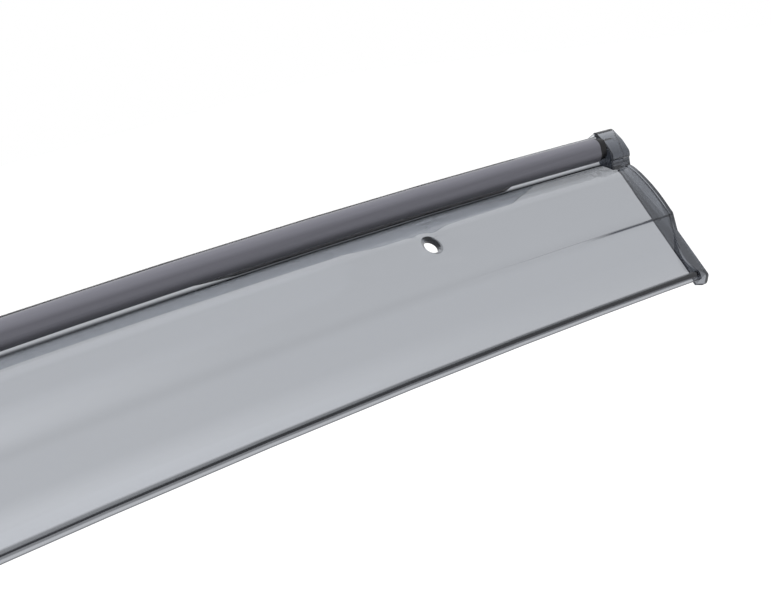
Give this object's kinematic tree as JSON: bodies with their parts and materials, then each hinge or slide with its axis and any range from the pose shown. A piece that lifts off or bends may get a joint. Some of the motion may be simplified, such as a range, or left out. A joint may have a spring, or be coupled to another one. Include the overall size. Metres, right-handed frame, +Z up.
{
  "type": "window rain deflector",
  "caption": "Long bowed smoke-tinted deflector that stands over a car side window, with a fixing flange, a creased blade, closed ends and a half-round trim strip.",
  "frame": {"origin": "on the fixing tape's face, at mid-length and halfway up the tape's narrow stretch", "axes": "+X along the deflector towards its rear end, -Y outwards from the car, +Z up"},
  "size_m": [0.8014, 0.0483, 0.0863],
  "materials": {
    "smoke_plastic": "clear grey smoke tint, polished on both faces",
    "trim_plastic": "dark grey, satin",
    "trim_tape_foam": "black foam, matt",
    "mounting_tape_foam": "black foam, matt"
  },
  "bodies": {
    "root": {"visor_body": "smoke_plastic", "trim_strip": "trim_plastic", "trim_tape": "trim_tape_foam", "mounting_tape": "mounting_tape_foam"}
  },
  "joints": []
}
